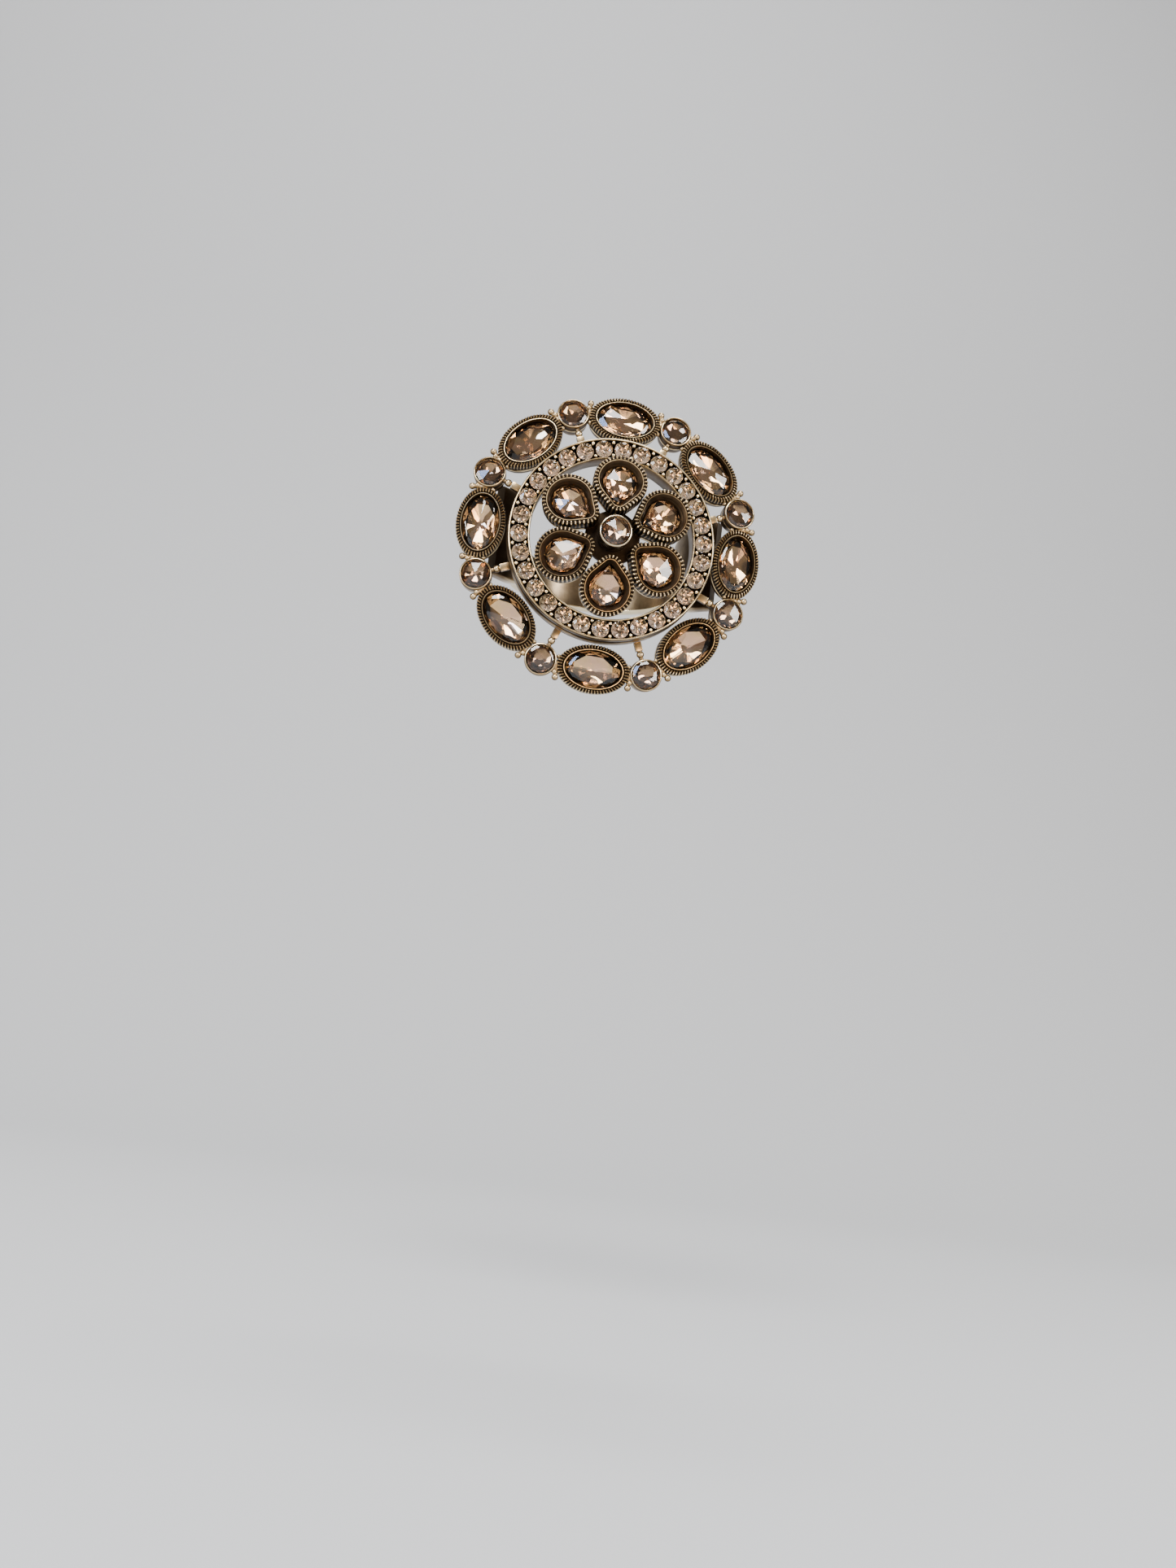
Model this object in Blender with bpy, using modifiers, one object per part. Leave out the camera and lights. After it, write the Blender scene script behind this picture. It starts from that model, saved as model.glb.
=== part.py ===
"""Domed openwork cocktail ring: a wide strap shank carries a round medallion.

The origin is the centre of the finger bore, +Z runs along the finger and the
medallion faces -Y.  On the medallion every piece is placed by its radius from
the medallion's axis, its angle clockwise from the top, and its height towards
the viewer above the plane of the pave stones' girdles.
"""

import math

import bmesh
import bpy
from mathutils import Vector

MM = 0.001

# Shank: a strap bent round the finger, with shoulders that flare outwards.
BORE_RADIUS = 8.65 * MM
STRAP_THICKNESS = 1.30 * MM
STRAP_HALF_WIDTH_BACK = 2.30 * MM
STRAP_HALF_WIDTH_SHOULDER = 5.00 * MM
STRAP_ROUND_END = 100.0
SHOULDER_HEADING = 56.0
SHOULDER_BEND_RADIUS = 7.17 * MM
STRAP_STEPS_ARC = 18
STRAP_STEPS_SHOULDER = 10

# Medallion: plane of the pave stones' girdles, in front of the bore's centre.
MEDALLION_FORWARD = 12.60 * MM

# Outer wreath: eight oval cups and eight round cups on one casting.
WREATH_COUNT = 8
WREATH_STEP = 360.0 / WREATH_COUNT
WREATH_TILT = 8.0
OVAL_RIM_RADIUS = 14.10 * MM
OVAL_RIM_HEIGHT = -1.50 * MM
OVAL_RIM = (3.94 * MM, 2.62 * MM)
OVAL_BASE = (3.80 * MM, 2.50 * MM)
OVAL_OPENING = (3.26 * MM, 2.14 * MM)
OVAL_DEPTH = 2.00 * MM
OVAL_GIRDLE_DROP = 0.55 * MM
OVAL_STONE = (2.98 * MM, 1.93 * MM)
ROUND_RIM_RADIUS = 14.97 * MM
ROUND_RIM_HEIGHT = -1.66 * MM
ROUND_RIM = 1.74 * MM
ROUND_BASE = 1.62 * MM
ROUND_OPENING = 1.57 * MM
ROUND_DEPTH = 1.95 * MM
ROUND_GIRDLE_DROP = 0.12 * MM
ROUND_STONE = 1.50 * MM

# Junctions between the cups: a solder fillet, and a post with a granule.
JUNCTION_ANGLE = 6.75
JUNCTION_RADIUS = 14.72 * MM
FILLET_RADIUS = 0.55 * MM
GRANULE_ANGLE = 8.2
GRANULE_ORBIT = 15.95 * MM
GRANULE_RADIUS = 0.36 * MM
POST_RADIUS = 0.26 * MM
GRANULE_HEIGHT = -2.15 * MM

# Struts: a flat tab on the pave ring, a bead, and a neck on the round cup.
STRUT_HEIGHT = -1.80 * MM
STRUT_START = 11.25 * MM
STRUT_TAB_END = 12.30 * MM
STRUT_TAB_WIDTH = 0.80 * MM
STRUT_TAB_THICKNESS = 0.60 * MM
STRUT_BEAD_ORBIT = 12.62 * MM
STRUT_BEAD_RADIUS = 0.42 * MM
STRUT_NECK_RADIUS = 0.24 * MM
STRUT_NECK_END = 13.70 * MM

# Pave ring: a turned channel with two raised rims, and thirty round stones.
PAVE_COUNT = 30
PAVE_ORBIT = 10.00 * MM
PAVE_OUTER = 11.17 * MM
PAVE_INNER = 8.83 * MM
PAVE_WALL = 0.15 * MM
PAVE_RIM_HEIGHT = 0.16 * MM
PAVE_FLOOR_HEIGHT = -1.00 * MM
PAVE_BACK_HEIGHT = -2.20 * MM
PAVE_STONE = 0.94 * MM
PAVE_RING_STEPS = 60

# Flower: six pear cups round a hub, their points towards the centre.
PETAL_COUNT = 6
PETAL_TILT = 9.0
PETAL_RADIUS = 5.68 * MM
PETAL_RIM_HEIGHT = 1.80 * MM
PETAL_RIM = (2.95 * MM, 3.25 * MM)
PETAL_BASE = (2.76 * MM, 3.08 * MM)
PETAL_OPENING = (2.22 * MM, 2.56 * MM)
PETAL_DEPTH = 2.20 * MM
PETAL_GIRDLE_DROP = 0.85 * MM
PETAL_STONE = (1.88 * MM, 2.25 * MM)
HUB_RADIUS = 3.05 * MM
HUB_TOP_HEIGHT = 0.55 * MM
HUB_BACK_HEIGHT = -0.30 * MM

# Centre: a tall plain bezel standing on the hub, with one round stone.
CENTER_RIM_HEIGHT = 2.90 * MM
CENTER_RIM = 1.76 * MM
CENTER_BASE = 1.62 * MM
CENTER_OPENING = 1.57 * MM
CENTER_GIRDLE_DROP = 0.12 * MM
CENTER_STONE = 1.50 * MM

# Film of glue or solder that parts two pieces.
FILM = 0.06 * MM


def clear_scene():
    """Remove every object that is in the file."""
    for obj in list(bpy.data.objects):
        bpy.data.objects.remove(obj, do_unlink=True)


def make_collection(name):
    collection = bpy.data.collections.new(name)
    bpy.context.scene.collection.children.link(collection)
    return collection


def make_material(name, colour, roughness, metallic):
    material = bpy.data.materials.new(name)
    material.use_nodes = True
    shader = material.node_tree.nodes["Principled BSDF"]
    shader.inputs["Base Color"].default_value = (*colour, 1.0)
    shader.inputs["Roughness"].default_value = roughness
    shader.inputs["Metallic"].default_value = metallic
    material.diffuse_color = (*colour, 1.0)
    return material


def ellipse(turn, half_width, half_length):
    """Point of an ellipse at an angle in radians."""
    return half_width * math.cos(turn), half_length * math.sin(turn)


def pear(turn, half_width, half_length):
    """Point of a teardrop: a circle at +Y and two tangents that meet in a tip at -Y."""
    center = half_length - half_width
    reach = half_length + center
    half_point = math.asin(min(half_width / reach, 1.0)) if reach > 0.0 else 0.0
    from_tip = abs((turn + math.pi / 2 + math.pi) % (2 * math.pi) - math.pi)
    lean = max(math.pi / 2 - half_point - from_tip, 0.0)
    radius = half_width / math.cos(lean)
    return radius * math.cos(turn), center + radius * math.sin(turn)


def stack(levels, segments, outline):
    """Closed solid through outlines stacked along Z, from the first level to the last.

    Each level is (height, half width, half length); zero sizes make a point.
    """
    bm = bmesh.new()
    rings = []
    for number, (height, half_width, half_length) in enumerate(levels):
        at_end = number in (0, len(levels) - 1)
        made = bmesh.ops.create_circle(
            bm, cap_ends=at_end and half_width > 0.0, radius=1.0, segments=segments)
        for vertex in made["verts"]:
            turn = math.atan2(vertex.co.y, vertex.co.x)
            x, y = outline(turn, half_width, half_length)
            vertex.co = Vector((x, y, height))
        rings.append(made["verts"])
    for lower, upper in zip(rings, rings[1:]):
        edges = {edge for ring in (lower, upper) for vertex in ring for edge in vertex.link_edges
                 if edge.other_vert(vertex) in ring}
        bmesh.ops.bridge_loops(bm, edges=list(edges))
    bmesh.ops.remove_doubles(bm, verts=bm.verts, dist=1e-7)
    bmesh.ops.recalc_face_normals(bm, faces=bm.faces)
    return bm


def add_object(name, bm, collection, material=None, parent=None):
    """Turn a bmesh into a smooth-shaded object of a collection."""
    mesh = bpy.data.meshes.new(name)
    bm.to_mesh(mesh)
    bm.free()
    mesh.shade_smooth()
    mesh.set_sharp_from_angle(angle=math.radians(35.0))
    if material:
        mesh.materials.append(material)
    return add_mesh(name, mesh, collection, parent)


def add_mesh(name, mesh, collection, parent=None):
    """Put a mesh into a collection as an object; stones of one cut share a mesh."""
    obj = bpy.data.objects.new(name, mesh)
    collection.objects.link(obj)
    obj.parent = parent
    return obj


def seat(obj, radius, angle, height, tilt=0.0):
    """Place an object on the medallion, its +Y outwards, leaning outwards by the tilt."""
    turn = math.radians(angle)
    obj.location = (radius * math.sin(turn), radius * math.cos(turn), height)
    obj.rotation_euler = (-math.radians(tilt), 0.0, -turn)
    return obj


def drop(radius, height, tilt, depth):
    """Radius and height of a point a depth below a tilted rim's centre."""
    lean = math.radians(tilt)
    return radius - depth * math.sin(lean), height - depth * math.cos(lean)


def join_and_cut(base, parts, wells):
    """Fuse a collection of parts on a base, then cut a collection of wells."""
    union = base.modifiers.new("join", "BOOLEAN")
    union.operation = "UNION"
    union.solver = "EXACT"
    union.operand_type = "COLLECTION"
    union.collection = parts
    union.use_self = True
    cut = base.modifiers.new("wells", "BOOLEAN")
    cut.operation = "DIFFERENCE"
    cut.solver = "EXACT"
    cut.operand_type = "COLLECTION"
    cut.collection = wells
    cut.use_self = True


def cutter_collection(name, parent_collection):
    collection = bpy.data.collections.new(name)
    parent_collection.children.link(collection)
    return collection


def add_cutter(name, bm, collection, parent):
    obj = add_object(name, bm, collection, None, parent)
    obj.hide_render = True
    obj.display_type = "WIRE"
    return obj


def strap_path():
    """Middle line of one half of the strap, from the back to the shoulder's end."""
    middle = BORE_RADIUS + STRAP_THICKNESS / 2
    points = []
    for step in range(STRAP_STEPS_ARC + 1):
        turn = math.radians(STRAP_ROUND_END) * step / STRAP_STEPS_ARC
        points.append((middle * math.sin(turn), middle * math.cos(turn)))
    start_x, start_y = points[-1]
    first = math.radians(90.0 - STRAP_ROUND_END)
    last = math.radians(SHOULDER_HEADING)
    for step in range(1, STRAP_STEPS_SHOULDER + 1):
        heading = first + (last - first) * step / STRAP_STEPS_SHOULDER
        x = start_x + SHOULDER_BEND_RADIUS * (math.cos(first) - math.cos(heading))
        y = start_y - SHOULDER_BEND_RADIUS * (math.sin(heading) - math.sin(first))
        points.append((x, y))
    return points


def strap_half_width(x, y):
    """Narrow and even at the back, flaring to the shoulders, round at their ends."""
    along = (BORE_RADIUS * 0.35 - y) / (BORE_RADIUS * 1.25)
    along = min(max(along, 0.0), 1.0)
    flare = along * along * (3 - 2 * along)
    return STRAP_HALF_WIDTH_BACK + (STRAP_HALF_WIDTH_SHOULDER - STRAP_HALF_WIDTH_BACK) * flare


def build_shank(collection, material):
    half = strap_path()
    path = [(-x, y) for x, y in reversed(half[1:])] + half
    bm = bmesh.new()
    bmesh.ops.create_grid(bm, x_segments=len(path) - 1, y_segments=2, size=1.0)
    for vertex in bm.verts:
        step = round((vertex.co.x + 1.0) / 2.0 * (len(path) - 1))
        x, y = path[step]
        vertex.co = Vector((x, y, vertex.co.y * strap_half_width(x, y)))
    bmesh.ops.recalc_face_normals(bm, faces=bm.faces)
    shank = add_object("shank", bm, collection, material)
    strap = shank.modifiers.new("strap", "SOLIDIFY")
    strap.thickness = STRAP_THICKNESS
    strap.offset = 0.0
    strap.use_even_offset = True
    return shank


def cup_blank(rim, base, depth, segments, outline):
    return stack([(-depth, *base), (0.0, *rim)], segments, outline)


def stepped_well(opening, drop_to_girdle, stone, floor_depth, segments, outline):
    """Cutter of a cup's inside: a sloped wall to the girdle, then a hollow under the stone."""
    clear = 0.12 * MM
    seat_size = (stone[0] + clear, stone[1] + clear)
    floor_size = (stone[0] * 0.62, stone[1] * 0.62)
    seat_height = -drop_to_girdle - 0.20 * MM
    over_height = 0.5 * MM
    growth = over_height / -seat_height
    over = [rim + (rim - low) * growth for rim, low in zip(opening, seat_size)]
    return stack([
        (-floor_depth, *floor_size),
        (seat_height, *seat_size),
        (over_height, *over),
    ], segments, outline)


def build_wreath(collection, tools, medallion, material):
    parts = cutter_collection("wreath_parts", tools)
    wells = cutter_collection("wreath_wells", tools)
    base = None
    for number in range(WREATH_COUNT):
        oval_angle = number * WREATH_STEP
        round_angle = oval_angle + WREATH_STEP / 2
        blank = cup_blank(OVAL_RIM, OVAL_BASE, OVAL_DEPTH, 24, ellipse)
        if base is None:
            base = add_object("outer_wreath", blank, collection, material, medallion)
            seat(base, OVAL_RIM_RADIUS, oval_angle, OVAL_RIM_HEIGHT, WREATH_TILT)
        else:
            cup = add_cutter(f"oval_cup_{number}", blank, parts, medallion)
            seat(cup, OVAL_RIM_RADIUS, oval_angle, OVAL_RIM_HEIGHT, WREATH_TILT)
        well = stepped_well(OVAL_OPENING, OVAL_GIRDLE_DROP, OVAL_STONE, OVAL_DEPTH - 0.30 * MM, 20, ellipse)
        well = add_cutter(f"oval_well_{number}", well, wells, medallion)
        seat(well, OVAL_RIM_RADIUS, oval_angle, OVAL_RIM_HEIGHT, WREATH_TILT)

        blank = cup_blank((ROUND_RIM, ROUND_RIM), (ROUND_BASE, ROUND_BASE), ROUND_DEPTH, 18, ellipse)
        cup = add_cutter(f"round_cup_{number}", blank, parts, medallion)
        seat(cup, ROUND_RIM_RADIUS, round_angle, ROUND_RIM_HEIGHT, WREATH_TILT)
        well = stepped_well((ROUND_OPENING, ROUND_OPENING), ROUND_GIRDLE_DROP,
                            (ROUND_STONE - 0.05 * MM, ROUND_STONE - 0.05 * MM),
                            ROUND_DEPTH - 0.35 * MM, 16, ellipse)
        well = add_cutter(f"round_well_{number}", well, wells, medallion)
        seat(well, ROUND_RIM_RADIUS, round_angle, ROUND_RIM_HEIGHT, WREATH_TILT)

        build_strut(number, round_angle, parts, medallion)
        for side in (-1, 1):
            build_junction(f"{number}_{'ab'[side > 0]}", round_angle, side, parts, medallion)
    join_and_cut(base, parts, wells)
    return base


def build_strut(number, angle, parts, medallion):
    """Tab, bead and neck between the pave ring and a round cup."""
    bm = bmesh.new()
    bmesh.ops.create_cube(bm, size=1.0)
    bmesh.ops.scale(bm, vec=(STRUT_TAB_WIDTH, STRUT_TAB_END - STRUT_START, STRUT_TAB_THICKNESS), verts=bm.verts)
    tab = add_cutter(f"strut_tab_{number}", bm, parts, medallion)
    seat(tab, (STRUT_START + STRUT_TAB_END) / 2, angle, STRUT_HEIGHT)
    bm = bmesh.new()
    bmesh.ops.create_uvsphere(bm, u_segments=8, v_segments=5, radius=STRUT_BEAD_RADIUS)
    bead = add_cutter(f"strut_bead_{number}", bm, parts, medallion)
    seat(bead, STRUT_BEAD_ORBIT, angle, STRUT_HEIGHT - 0.03 * MM)
    length = STRUT_NECK_END - STRUT_TAB_END + 0.3 * MM
    bm = bmesh.new()
    bmesh.ops.create_cone(bm, cap_ends=True, segments=6, depth=length,
                          radius1=STRUT_NECK_RADIUS, radius2=STRUT_NECK_RADIUS)
    bmesh.ops.rotate(bm, cent=(0, 0, 0), verts=bm.verts,
                     matrix=Vector((0, 0, 1)).rotation_difference(Vector((0, 1, 0))).to_matrix())
    neck = add_cutter(f"strut_neck_{number}", bm, parts, medallion)
    seat(neck, STRUT_NECK_END - length / 2, angle, STRUT_HEIGHT - 0.05 * MM, 4.0)


def build_junction(name, angle, side, parts, medallion):
    """Solder fillet between an oval and a round cup, with a granule on a post outside it."""
    turn = angle + side * JUNCTION_ANGLE
    bm = bmesh.new()
    bmesh.ops.create_cone(bm, cap_ends=True, segments=8, depth=1.30 * MM,
                          radius1=FILLET_RADIUS * 0.8, radius2=FILLET_RADIUS)
    fillet = add_cutter(f"fillet_{name}", bm, parts, medallion)
    seat(fillet, JUNCTION_RADIUS, turn, OVAL_RIM_HEIGHT - 1.10 * MM, WREATH_TILT)

    end = math.radians(angle + side * GRANULE_ANGLE)
    start = math.radians(turn)
    tip = Vector((GRANULE_ORBIT * math.sin(end), GRANULE_ORBIT * math.cos(end), GRANULE_HEIGHT))
    foot = Vector((JUNCTION_RADIUS * math.sin(start), JUNCTION_RADIUS * math.cos(start),
                   GRANULE_HEIGHT + 0.10 * MM))
    bm = bmesh.new()
    bmesh.ops.create_cone(bm, cap_ends=True, segments=6, depth=(tip - foot).length,
                          radius1=POST_RADIUS, radius2=POST_RADIUS)
    post = add_cutter(f"post_{name}", bm, parts, medallion)
    post.location = (tip + foot) / 2
    post.rotation_mode = "QUATERNION"
    post.rotation_quaternion = Vector((0, 0, 1)).rotation_difference(tip - foot)
    bm = bmesh.new()
    bmesh.ops.create_uvsphere(bm, u_segments=8, v_segments=5, radius=GRANULE_RADIUS)
    granule = add_cutter(f"granule_{name}", bm, parts, medallion)
    seat(granule, GRANULE_ORBIT, math.degrees(end), GRANULE_HEIGHT, WREATH_TILT)


def build_pave_ring(collection, medallion, material):
    """Channel ring as a turned profile, run down its outer side first."""
    top = PAVE_RIM_HEIGHT
    profile = [
        (PAVE_OUTER - PAVE_WALL, PAVE_FLOOR_HEIGHT),
        (PAVE_OUTER - PAVE_WALL, top),
        (PAVE_OUTER - 0.03 * MM, top),
        (PAVE_OUTER, top - 0.06 * MM),
        (PAVE_OUTER, PAVE_BACK_HEIGHT),
        (PAVE_INNER, PAVE_BACK_HEIGHT),
        (PAVE_INNER, top - 0.06 * MM),
        (PAVE_INNER + 0.03 * MM, top),
        (PAVE_INNER + PAVE_WALL, top),
        (PAVE_INNER + PAVE_WALL, PAVE_FLOOR_HEIGHT),
    ]
    bm = bmesh.new()
    verts = [bm.verts.new((radius, 0.0, height)) for radius, height in profile]
    for first, second in zip(verts, verts[1:] + verts[:1]):
        bm.edges.new((first, second))
    ring = add_object("pave_channel_ring", bm, collection, material, medallion)
    turned = ring.modifiers.new("turned", "SCREW")
    turned.axis = "Z"
    turned.steps = PAVE_RING_STEPS
    turned.render_steps = PAVE_RING_STEPS
    turned.use_merge_vertices = True
    turned.merge_threshold = 0.000001
    turned.use_smooth_shade = True
    return ring


def build_flower(collection, tools, medallion, material):
    parts = cutter_collection("flower_parts", tools)
    wells = cutter_collection("flower_wells", tools)
    bm = bmesh.new()
    bmesh.ops.create_cone(bm, cap_ends=True, segments=24, depth=HUB_TOP_HEIGHT - HUB_BACK_HEIGHT,
                          radius1=HUB_RADIUS * 0.9, radius2=HUB_RADIUS)
    flower = add_object("flower_setting", bm, collection, material, medallion)
    seat(flower, 0.0, 7.5, (HUB_TOP_HEIGHT + HUB_BACK_HEIGHT) / 2)
    for number in range(PETAL_COUNT):
        angle = number * 360.0 / PETAL_COUNT
        blank = cup_blank(PETAL_RIM, PETAL_BASE, PETAL_DEPTH, 28, pear)
        cup = add_cutter(f"petal_cup_{number}", blank, parts, medallion)
        seat(cup, PETAL_RADIUS, angle, PETAL_RIM_HEIGHT, PETAL_TILT)
        well = stepped_well(PETAL_OPENING, PETAL_GIRDLE_DROP, PETAL_STONE,
                            PETAL_DEPTH - 0.35 * MM, 24, pear)
        well = add_cutter(f"petal_well_{number}", well, wells, medallion)
        seat(well, PETAL_RADIUS, angle, PETAL_RIM_HEIGHT, PETAL_TILT)
    join_and_cut(flower, parts, wells)
    return flower


def build_center_bezel(collection, medallion, material):
    """Tall cup with its well, standing on the hub."""
    foot = HUB_TOP_HEIGHT + FILM
    rim = CENTER_RIM_HEIGHT
    well = rim - 1.75 * MM
    bm = stack([
        (foot, CENTER_BASE, CENTER_BASE),
        (rim, CENTER_RIM, CENTER_RIM),
        (rim, CENTER_OPENING, CENTER_OPENING),
        (rim - 0.35 * MM, CENTER_OPENING - 0.02 * MM, CENTER_OPENING - 0.02 * MM),
        (well, 0.95 * MM, 0.95 * MM),
    ], 24, ellipse)
    return add_object("center_bezel", bm, collection, material, medallion)


def stone_mesh(name, size, crown, pavilion, segments, outline, material):
    """Point-cut stone: girdle, a narrow bevel, facets to an apex, and a pointed back."""
    half_width, half_length = size
    girdle = 0.10 * MM
    bm = stack([
        (-pavilion, 0.0, 0.0),
        (0.0, half_width, half_length),
        (girdle, half_width, half_length),
        (girdle + crown * 0.38, half_width * 0.84, half_length * 0.84),
        (girdle + crown, 0.0, 0.0),
    ], segments, outline)
    mesh = bpy.data.meshes.new(name)
    bm.to_mesh(mesh)
    bm.free()
    mesh.materials.append(material)
    return mesh


def chaton_mesh(name, radius, segments, material):
    """Small brilliant: table, crown, girdle and pointed back."""
    bm = stack([
        (-radius * 0.82, 0.0, 0.0),
        (-0.04 * MM, radius, radius),
        (0.04 * MM, radius, radius),
        (radius * 0.34, radius * 0.56, radius * 0.56),
    ], segments, ellipse)
    mesh = bpy.data.meshes.new(name)
    bm.to_mesh(mesh)
    bm.free()
    mesh.materials.append(material)
    return mesh


def build_stones(collection, medallion, champagne, clear):
    oval = stone_mesh("oval_stone", OVAL_STONE, 0.70 * MM, 1.00 * MM, 16, ellipse, champagne)
    small = stone_mesh("round_stone", (ROUND_STONE, ROUND_STONE), 0.55 * MM, 0.95 * MM, 12, ellipse, champagne)
    drop_stone = stone_mesh("pear_stone", PETAL_STONE, 0.70 * MM, 0.88 * MM, 16, pear, champagne)
    chaton = chaton_mesh("pave_stone", PAVE_STONE, 10, clear)
    for number in range(WREATH_COUNT):
        angle = number * WREATH_STEP
        stone = add_mesh(f"oval_stone_{number + 1}", oval, collection, medallion)
        radius, height = drop(OVAL_RIM_RADIUS, OVAL_RIM_HEIGHT, WREATH_TILT, OVAL_GIRDLE_DROP)
        seat(stone, radius, angle, height, WREATH_TILT)
        stone = add_mesh(f"round_stone_{number + 1}", small, collection, medallion)
        radius, height = drop(ROUND_RIM_RADIUS, ROUND_RIM_HEIGHT, WREATH_TILT, ROUND_GIRDLE_DROP)
        seat(stone, radius, angle + WREATH_STEP / 2, height, WREATH_TILT)
    for number in range(PETAL_COUNT):
        angle = number * 360.0 / PETAL_COUNT
        stone = add_mesh(f"pear_stone_{number + 1}", drop_stone, collection, medallion)
        radius, height = drop(PETAL_RADIUS, PETAL_RIM_HEIGHT, PETAL_TILT, PETAL_GIRDLE_DROP)
        seat(stone, radius, angle, height, PETAL_TILT)
    for number in range(PAVE_COUNT):
        angle = number * 360.0 / PAVE_COUNT
        stone = add_mesh(f"pave_stone_{number + 1:02d}", chaton, collection, medallion)
        seat(stone, PAVE_ORBIT, angle, 0.0)
    center = add_mesh("center_stone", small, collection, medallion)
    seat(center, 0.0, 0.0, CENTER_RIM_HEIGHT - CENTER_GIRDLE_DROP)


def main():
    clear_scene()
    ring = make_collection("cocktail_ring")
    tools = make_collection("cutters")
    brass = make_material("antique_brass", (0.36, 0.28, 0.16), 0.30, 1.0)
    polished = make_material("polished_brass", (0.62, 0.54, 0.40), 0.16, 1.0)
    champagne = make_material("champagne_stone", (0.55, 0.42, 0.33), 0.05, 0.0)
    clear = make_material("clear_stone", (0.82, 0.78, 0.74), 0.05, 0.0)

    medallion = bpy.data.objects.new("medallion", None)
    ring.objects.link(medallion)
    medallion.location = (0.0, -MEDALLION_FORWARD, 0.0)
    medallion.rotation_euler = (math.radians(90.0), 0.0, 0.0)

    build_shank(ring, polished)
    build_wreath(ring, tools, medallion, brass)
    build_pave_ring(ring, medallion, brass)
    build_flower(ring, tools, medallion, brass)
    build_center_bezel(ring, medallion, polished)
    build_stones(ring, medallion, champagne, clear)


main()
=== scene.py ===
"""Looks of the cocktail ring: milled cups, bead prongs, facet-cut stones and a polished strap.

Pieces are made in millimetres on the medallion's own frame, +Z towards the viewer and
+Y up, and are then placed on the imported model's frame.
"""

import math

import bmesh
import bpy
import numpy as np
from mathutils import Matrix, Vector


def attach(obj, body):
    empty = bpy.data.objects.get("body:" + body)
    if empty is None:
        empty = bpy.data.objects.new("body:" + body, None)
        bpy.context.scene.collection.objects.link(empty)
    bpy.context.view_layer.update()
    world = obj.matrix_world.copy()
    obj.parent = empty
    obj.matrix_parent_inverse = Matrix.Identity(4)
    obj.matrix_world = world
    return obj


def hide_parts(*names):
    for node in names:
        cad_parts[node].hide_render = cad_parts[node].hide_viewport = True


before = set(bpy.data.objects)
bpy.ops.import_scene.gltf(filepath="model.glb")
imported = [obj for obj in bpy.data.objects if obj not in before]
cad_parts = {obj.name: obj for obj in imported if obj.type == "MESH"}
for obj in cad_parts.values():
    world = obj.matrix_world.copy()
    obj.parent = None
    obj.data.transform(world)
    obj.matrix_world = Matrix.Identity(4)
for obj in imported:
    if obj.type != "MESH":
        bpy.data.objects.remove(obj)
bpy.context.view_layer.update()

MM = 0.001

# Sizes in millimetres, as in the solids.
MEDALLION_FORWARD = 12.6
WREATH_TILT, PETAL_TILT = 8.0, 9.0
OVAL_RIM_RADIUS, OVAL_RIM_HEIGHT, OVAL_DEPTH, OVAL_DROP = 14.10, -1.50, 2.0, 0.55
OVAL_RIM, OVAL_STONE = (3.94, 2.62), (2.98, 1.93)
ROUND_RIM_RADIUS, ROUND_RIM_HEIGHT, ROUND_DEPTH, ROUND_DROP = 14.97, -1.66, 1.95, 0.12
ROUND_RIM, ROUND_STONE = 1.74, 1.50
PETAL_RADIUS, PETAL_RIM_HEIGHT, PETAL_DEPTH, PETAL_DROP = 5.68, 1.80, 2.2, 0.85
PETAL_RIM_WIDTH, PEAR_STONE = 1.04, (1.88, 2.25)
CENTER_RIM, CENTER_RIM_HEIGHT, CENTER_FOOT = 1.76, 2.90, 0.61
PAVE_ORBIT, PAVE_STONE, PAVE_COUNT = 10.0, 0.95, 30
WREATH_COUNT, PETAL_COUNT = 8, 6
STRAP_THICKNESS, BORE_RADIUS = 1.30, 8.65
STRAP_HALF_WIDTH_BACK, STRAP_HALF_WIDTH_SHOULDER = 2.30, 5.00
STRAP_ROUND_END, SHOULDER_HEADING, SHOULDER_BEND_RADIUS = 100.0, 56.0, 7.17

# Struts and granules of the wreath.
STRUT_TAB, STRUT_TAB_PLACE, STRUT_NECK = (0.80, 1.02, 0.56), (0.0, 11.74, -1.78), 0.24
STRUT_BEAD, STRUT_BEAD_PLACE = 0.41, (0.0, 12.62, -1.80)
GRANULE_ORBIT, GRANULE_ANGLE, GRANULE_RADIUS = 15.95, 8.2, 0.36

# Milling: the ribs round a cup, and one rib as (phase, height) across its step.
OVAL_RIBS, PETAL_RIBS = 60, 42
RIB = ((0.0, 0.0), (0.22, 0.0), (0.33, 0.72), (0.5, 1.0), (0.67, 0.72), (0.78, 0.0))
RIB_OUT, RIB_UP = 0.09, 0.15

# Beads along the pave groove, and the most that a set stone leans, in degrees.
BEAD_ORBITS, BEAD_RADIUS, GROOVE_FLOOR = (9.30, 10.72), 0.215, -1.02
STONE_LEAN = 2.6

# The medallion's own frame: +Z towards the viewer, +Y up.
FRONT = (Matrix.Translation((0.0, -MEDALLION_FORWARD * MM, 0.0))
         @ Matrix.Rotation(math.radians(90), 4, "X"))


# ---------------------------------------------------------------- outlines

def ellipse_band(inner, outer, count=720):
    """Points of an ellipse, and the way from each to its place on a larger ellipse."""
    turn = np.linspace(0, 2 * np.pi, count, endpoint=False)
    start = np.column_stack([inner[0] * np.cos(turn), inner[1] * np.sin(turn)])
    end = np.column_stack([outer[0] * np.cos(turn), outer[1] * np.sin(turn)])
    return start, end - start


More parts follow.
